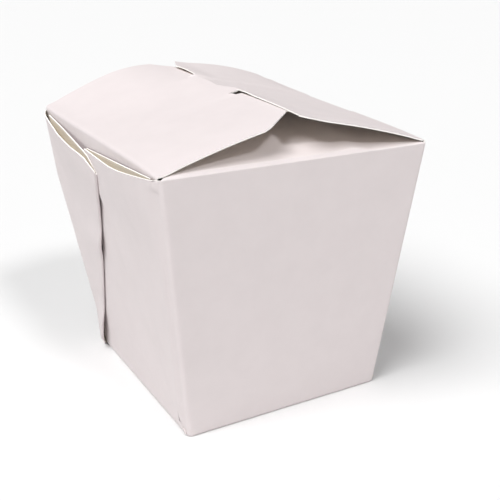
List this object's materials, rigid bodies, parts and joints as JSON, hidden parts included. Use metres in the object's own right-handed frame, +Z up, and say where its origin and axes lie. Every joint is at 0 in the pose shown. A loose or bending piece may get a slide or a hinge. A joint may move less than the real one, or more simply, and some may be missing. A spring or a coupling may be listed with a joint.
{
  "type": "noodle takeaway box",
  "caption": "Shut, tapered takeaway box folded from white paperboard, with corner webs pleated flat on its sides and a locked lid that rises to a low ridge.",
  "frame": {"origin": "middle of the underside of the base", "axes": "+X across the box, from the left pleated side to the right one; -Y is the plain front wall; +Z up"},
  "size_m": [0.101, 0.1068, 0.1081],
  "materials": {
    "paperboard": "smooth matt white board"
  },
  "bodies": {
    "root": {"carton": "paperboard"}
  },
  "joints": []
}
